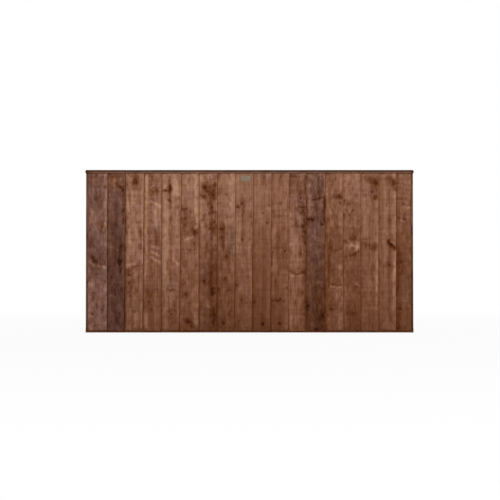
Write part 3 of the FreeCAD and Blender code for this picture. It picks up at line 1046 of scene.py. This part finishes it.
class FENCE_OT_framing(bpy.types.Operator):
    """Build the end battens, the back rails and the base rail"""

    bl_idname = "fence.framing"
    bl_label = "Framing"

    def execute(self, context):
        timber = context.scene.fence_timber
        material = timber_material("framing_timber", timber, *FRAMING_FINISH)
        for index, (node, axes, *levels) in enumerate(FRAMING):
            low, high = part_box(node)
            seed = seed_of(FRAMING_SEED + index)
            piece = sawn_piece(node, axes, FRAMING_CELL, seed, timber)
            place = places_of(piece.data)
            grain = np.stack([place[:, axis] - low[axis] for axis in axes], 1)
            stain = stain_by_height(place[:, 2], *levels)
            stain["tone"] += fade(from_ends(place, low, high, axes[2]), *FRAME_END_SOAK)
            knots = row_of_knots(FRAMING_SHIFT * index, *FRAMING_KNOTS)
            finish_piece(piece, seed, knots, "framing", material, grain, **stain)
        return {"FINISHED"}


class FENCE_OT_capping(bpy.types.Operator):
    """Build the weathered capping rail"""

    bl_idname = "fence.capping"
    bl_label = "Capping"

    def execute(self, context):
        timber = context.scene.fence_timber
        material = timber_material("capping_timber", timber, *CAPPING_FINISH)
        node = "capping_rail"
        low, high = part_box(node)
        seed = seed_of(CAPPING_SEED)
        piece = sawn_piece(node, FLAT, CAPPING_CELL, seed, timber)
        place = places_of(piece.data)
        grain = np.stack([place[:, axis] - low[axis] for axis in FLAT], 1)
        stain = stain_by_height(place[:, 2] - low.z, *CAPPING)
        stain["tone"] += fade(from_ends(place, low, high, 0), *CAP_END_SOAK)
        knots = row_of_knots(0, *CAPPING_KNOTS)
        finish_piece(piece, seed, knots, "capping", material, grain, **stain)
        return {"FINISHED"}


# Nails, staples and the tag

def nail_shape(fixings):
    """A flat nail head, slightly domed, on the start of its shank, facing up at the origin."""
    radius, height = 0.5 * fixings.head_width, fixings.head_height
    bm = bmesh.new()
    bmesh.ops.create_cone(bm, cap_ends=True, segments=14, radius1=radius, radius2=radius, depth=height)
    rim = [edge for edge in bm.edges if min(vert.co.z for vert in edge.verts) > 0]
    round_off(bm, rim, 0.35 * height)
    top = max(bm.faces, key=lambda face: face.calc_center_median().z)
    bmesh.ops.inset_individual(bm, faces=[top], thickness=0.35 * radius, depth=0.12 * height)
    base = min(bm.faces, key=lambda face: face.calc_center_median().z)
    bmesh.ops.inset_individual(bm, faces=[base], thickness=radius - 0.5 * fixings.shank_width)
    bmesh.ops.inset_individual(bm, faces=[base], thickness=0.02 * MM, depth=fixings.shank_length)
    return mesh_of(bm, "nail_shape")


def staple_shape(fixings):
    """A wire staple with rounded shoulders, its crown along X and its legs going down."""
    wire, crown = fixings.staple_wire, fixings.staple_width
    bm = bmesh.new()
    bmesh.ops.create_cone(bm, cap_ends=True, segments=6, radius1=0.5 * wire, radius2=0.5 * wire,
                          depth=crown + 8 * MM, matrix=Matrix.Rotation(math.radians(90), 4, "Y"))
    divide(bm, 0, 0.4 * MM)
    shoulder = 0.5 * crown - wire
    for vert in bm.verts:
        beyond = abs(vert.co.x) - shoulder
        if beyond > 0:
            side = math.copysign(1.0, vert.co.x)
            turn = min(beyond / wire, math.pi / 2)
            leg = beyond - wire * turn
            out = vert.co.z + wire
            vert.co.x = side * (shoulder + out * math.sin(turn))
            vert.co.z = out * math.cos(turn) - wire - leg
    return mesh_of(bm, "staple_shape")


def aged_bmesh():
    """An empty bmesh whose vertices carry an age."""
    bm = bmesh.new()
    bm.verts.layers.float.new("age")
    return bm


def set_in(bm, shape, spot, outward, spin, sink, age):
    """Adds a copy of a shape at a spot, facing outward, turned by spin and sunk, with an age."""
    before = len(bm.verts)
    bm.from_mesh(shape)
    bm.verts.ensure_lookup_table()
    fresh = bm.verts[before:]
    facing = outward.to_track_quat("Z", "Y").to_matrix().to_4x4()
    place = Matrix.Translation(spot - outward * sink) @ facing @ Matrix.Rotation(spin, 4, "Z")
    bmesh.ops.transform(bm, matrix=place, verts=fresh)
    layer = bm.verts.layers.float["age"]
    for vert in fresh:
        vert[layer] = age


def surface_of(name):
    """A search tree of a piece's surface."""
    bm = bmesh.new()
    bm.from_mesh(bpy.data.objects[name].data)
    tree = BVHTree.FromBMesh(bm)
    bm.free()
    return tree


def struck(surface, start, direction, what):
    """Where a line from start meets a surface, and the way the surface faces there."""
    spot, normal = surface.ray_cast(start, direction)[:2]
    if spot is None:
        raise RuntimeError(f"{what} misses its piece")
    return spot, normal


def finish_fixing(name, bm, material):
    """Turns a bmesh into a piece that rides on the panel."""
    piece = add_object(name, mesh_of(bm, name))
    piece.data.materials.append(material)
    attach(piece, "root")
    return piece


def metal_material(name, colour, stained, metallic, roughness):
    """Dull zinc, clouded and browned by the dip where a piece carries age."""
    material, tree = new_material(name)
    bloom = cloud(tree, object_place(tree), "zinc")
    aged = calc(tree, "ADD", attribute(tree, "age"), centred(tree, bloom, 0.9), clamp=True)
    tint = mixed(tree, aged, opaque(colour), opaque(stained))
    gloss = calc(tree, "MULTIPLY_ADD", bloom, 0.3, roughness - 0.15, clamp=True)
    shade(tree, tint, gloss, bloom, 0.4, 0.1 * MM, 0.1, metallic)
    return material


def film_material(fixings, low, high):
    """The tag's dusty film, brown at its lower left and greyer to the upper right."""
    material, tree = new_material("tag_film")
    place = object_place(tree)
    grime = cloud(tree, place, "grime")
    x, y, z = split(tree, place)
    across = ease(tree, x, low.x - 4 * MM, high.x + 2 * MM)
    upward = ease(tree, z, low.z - 2 * MM, high.z)
    clean = total(tree, product(tree, across, 0.6), product(tree, upward, 0.6))
    clean = calc(tree, "ADD", clean, centred(tree, grime, 1.0), clamp=True)
    tint = mixed(tree, clean, opaque(fixings.film_brown), opaque(fixings.film_grey))
    tint = scaled(tree, tint, calc(tree, "MULTIPLY_ADD", cloud(tree, place, "speck"), 0.25, 0.85))
    gloss = calc(tree, "MULTIPLY_ADD", grime, 0.35, 0.5, clamp=True)
    shade(tree, tint, gloss, grime, 0.5, 0.4 * MM, 0.1)
    return material


def tag_shape(node, fixings):
    """The tag's plate with rounded corners and rims, its film lifting a little."""
    low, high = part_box(node)
    bm = cad_copy(node)
    corners = [edge for edge in bm.edges
               if abs((edge.verts[1].co - edge.verts[0].co).normalized().y) > 0.9]
    round_off(bm, corners, fixings.tag_corner, 5)
    rims = [edge for edge in bm.edges if edge.calc_face_angle(0.0) > 1.0]
    round_off(bm, rims, 0.25 * MM)
    for normal, start, end in ((RIGHT, low.x, high.x), (UP, low.z, high.z)):
        cuts = round((end - start) / (2.5 * MM))
        for cut in range(1, cuts):
            spot = normal * (start + (end - start) * cut / cuts)
            bmesh.ops.bisect_plane(bm, geom=bm.verts[:] + bm.edges[:] + bm.faces[:], dist=1e-7,
                                   plane_co=spot, plane_no=normal)
    for vert in bm.verts:
        lift = 0.5 + 0.5 * noise.noise(Vector((vert.co.x * 55, 3.0, vert.co.z * 70)))
        right = max(0.0, (vert.co.x - low.x) / (high.x - low.x) - 0.6) ** 2
        vert.co.y -= fixings.tag_wave * (lift + 1.5 * right)
    bm.normal_update()
    return bm


def nail_boards(bm, shape, heights):
    """Nails each board at each rail, a little off upright."""
    for number in range(1, BOARD_COUNT + 1):
        node = f"board_{number:02d}"
        surface = surface_of(f"sawn_{node}")
        low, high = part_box(node)
        for row, height in enumerate(heights):
            random = noise.random_vector()
            x = high.x - NAILS.get(number, USUAL_NAILS)[row] * MM
            start = Vector((x, low.y - LINE_START, height + 5 * MM * random.x))
            spot, normal = struck(surface, start, BACK, f"a nail of {node}")
            outward = (normal + NAIL_LEAN * random).normalized()
            age = BRIGHT_AGE if (number, row) in BRIGHT_NAILS else DULL_AGE + 0.1 * random.z
            set_in(bm, shape, spot, outward, NAIL_TURN * random.y, BOARD_SINK, age)


def nail_cap(bm, shape):
    """Nails the cap from above."""
    low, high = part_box("capping_rail")
    surface = surface_of("sawn_capping_rail")
    for share in CAP_NAILS:
        random = noise.random_vector()
        x = low.x + share * (high.x - low.x)
        start = Vector((x, CAP_NAILS_Y + 4 * MM * random.x, high.z + LINE_START))
        spot, normal = struck(surface, start, -UP, "a nail of the cap")
        set_in(bm, shape, spot, normal, NAIL_TURN * random.y, CAP_SINK, CAP_AGE + 0.3 * random.z)


def nail_end(bm, shape, heights, node, outward):
    """Nails an end batten to each rail."""
    low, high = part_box(node)
    surface = surface_of(f"sawn_{node}")
    for height in heights:
        for y in END_NAILS:
            random = noise.random_vector()
            middle = Vector((0.5 * (low.x + high.x), y + 2 * MM * random.x, height + 6 * MM * random.z))
            spot, normal = struck(surface, middle + outward * LINE_START, -outward, f"a nail of {node}")
            set_in(bm, shape, spot, outward, NAIL_TURN * random.y, END_SINK, END_AGE + 0.3 * random.y)


class FENCE_OT_nails(bpy.types.Operator):
    """Drive the nails of the boards, the cap and the ends"""

    bl_idname = "fence.nails"
    bl_label = "Nails"

    def execute(self, context):
        fixings = context.scene.fence_fixings
        shape = nail_shape(fixings)
        noise.seed_set(NAIL_SEED)
        bm = aged_bmesh()
        rails = [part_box(f"{name}_rail") for name in ("bottom", "middle", "top")]
        heights = [0.5 * (low.z + high.z) for low, high in rails]
        nail_boards(bm, shape, heights)
        nail_cap(bm, shape)
        nail_end(bm, shape, heights, "left_end_batten", -RIGHT)
        nail_end(bm, shape, heights, "right_end_batten", RIGHT)
        zinc = metal_material("zinc_nail", fixings.nail_colour, fixings.nail_stained, 0.0, 0.8)
        finish_fixing("nail_heads", bm, zinc)
        return {"FINISHED"}


class FENCE_OT_tag(bpy.types.Operator):
    """Staple the blank tag to its board"""

    bl_idname = "fence.tag"
    bl_label = "Blank Tag"

    def execute(self, context):
        fixings = context.scene.fence_fixings
        node = "blank_tag"
        low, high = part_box(node)
        film = film_material(fixings, low, high)
        tag = finish_fixing("blank_tag_film", tag_shape(node, fixings), film)
        tag.data.shade_smooth()
        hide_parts(node)
        surface = surface_of("blank_tag_film")
        shape = staple_shape(fixings)
        bm = aged_bmesh()
        for x in (low.x + STAPLE_LEFT, high.x - STAPLE_RIGHT):
            start = Vector((x, low.y - LINE_START, high.z - STAPLE_BELOW))
            spot, normal = struck(surface, start, BACK, "a staple")
            set_in(bm, shape, spot, normal, spin=0.1, sink=-STAPLE_PROUD, age=0.1)
        wire = metal_material("staple_wire", fixings.wire_colour, fixings.wire_stained, 0.6, 0.5)
        finish_fixing("tag_staples", bm, wire)
        return {"FINISHED"}


# Stage

def seen(tree):
    """1 on rays from the camera and on mirrored and refracted ones."""
    path = put(tree, "ShaderNodeLightPath").outputs
    plain = calc(tree, "MAXIMUM", path["Is Camera Ray"], path["Is Glossy Ray"])
    return calc(tree, "MAXIMUM", plain, path["Is Transmission Ray"])


def add_floor(stage):
    """A wide pale floor that keeps the panel's shadow and turns white away from it."""
    bm = bmesh.new()
    bmesh.ops.create_grid(bm, x_segments=2, y_segments=2, size=FLOOR_SIZE,
                          matrix=Matrix.Translation(FLOOR_MIDDLE))
    floor = add_object("floor", mesh_of(bm, "floor"))
    material, tree = new_material("floor")
    inputs = {0: object_place(tree), 1: FLOOR_MIDDLE}
    away = put(tree, "ShaderNodeVectorMath", inputs, operation="DISTANCE").outputs[1]
    share = product(tree, seen(tree), ease(tree, away, FLOOR_TURN, FLOOR_WHITE, NEAR_SHARE, 1.0))
    matt = put(tree, "ShaderNodeBsdfDiffuse", {"Color": opaque(stage.floor_colour)}).outputs[0]
    white = put(tree, "ShaderNodeEmission", {"Color": WHITE, "Strength": 1.0}).outputs[0]
    surface = put(tree, "ShaderNodeMixShader", {0: share, 1: matt, 2: white}).outputs[0]
    put(tree, "ShaderNodeOutputMaterial", {"Surface": surface})
    floor.data.materials.append(material)


def add_sky(stage):
    """An even light all round that is white where it is seen."""
    world = bpy.data.worlds.new("plain_sky")
    tree = empty_tree(world)
    sky, white = [
        put(tree, "ShaderNodeBackground", {"Color": WHITE, "Strength": strength}).outputs[0]
        for strength in (stage.sky, 1.0)]
    surface = put(tree, "ShaderNodeMixShader", {0: seen(tree), 1: sky, 2: white}).outputs[0]
    put(tree, "ShaderNodeOutputWorld", {"Surface": surface})
    bpy.context.scene.world = world


def add_lamp(name, strength, direction, width):
    """A soft sun that shines in a direction and is some degrees wide."""
    light = bpy.data.lights.new(name, "SUN")
    light.energy = strength
    light.angle = math.radians(width)
    lamp = add_object(name, light)
    lamp.rotation_euler = Vector(direction).to_track_quat("-Z", "Y").to_euler()


class FENCE_OT_stage(bpy.types.Operator):
    """Set up the floor, the lights and the camera"""

    bl_idname = "fence.stage"
    bl_label = "Stage"

    def execute(self, context):
        stage = context.scene.fence_stage
        add_floor(stage)
        add_sky(stage)
        add_lamp("key_light", stage.key, *KEY_LIGHT)
        add_lamp("fill_light", stage.fill, *FILL_LIGHT)
        camera = add_object("camera", bpy.data.cameras.new("camera"))
        camera.data.lens = stage.lens
        camera.location = stage.camera_place
        camera.rotation_euler = (math.radians(90) + stage.camera_pitch, 0, 0)
        context.scene.camera = camera
        context.scene.view_settings.view_transform = "Standard"
        return {"FINISHED"}


class FENCE_PT_panel(bpy.types.Panel):
    """Sizes and steps of the fence panel"""

    bl_idname = "FENCE_PT_panel"
    bl_label = "Fence Panel"
    bl_space_type = "VIEW_3D"
    bl_region_type = "UI"
    bl_category = "Fence Panel"

    def draw(self, context):
        for owner in SETTINGS:
            settings = getattr(context.scene, owner)
            box = self.layout.box()
            for key in settings.bl_rna.properties.keys():
                if key not in {"rna_type", "name"}:
                    box.prop(settings, key)
        for step in STEPS:
            self.layout.operator(step.bl_idname)


SETTINGS = {
    "fence_timber": FenceTimber,
    "fence_stain": FenceStain,
    "fence_fixings": FenceFixings,
    "fence_stage": FenceStage,
}
STEPS = (
    FENCE_OT_groups,
    FENCE_OT_boards,
    FENCE_OT_framing,
    FENCE_OT_capping,
    FENCE_OT_nails,
    FENCE_OT_tag,
    FENCE_OT_stage,
)


def register():
    for owner, settings in SETTINGS.items():
        bpy.utils.register_class(settings)
        setattr(bpy.types.Scene, owner, PointerProperty(type=settings))
    for step in STEPS:
        bpy.utils.register_class(step)
    bpy.utils.register_class(FENCE_PT_panel)


def unregister():
    bpy.utils.unregister_class(FENCE_PT_panel)
    for step in reversed(STEPS):
        bpy.utils.unregister_class(step)
    for owner, settings in SETTINGS.items():
        delattr(bpy.types.Scene, owner)
        bpy.utils.unregister_class(settings)


def main():
    register()
    bpy.ops.fence.groups()
    bpy.ops.fence.boards()
    bpy.ops.fence.framing()
    bpy.ops.fence.capping()
    bpy.ops.fence.nails()
    bpy.ops.fence.tag()
    bpy.ops.fence.stage()


if __name__ == "__main__":
    main()
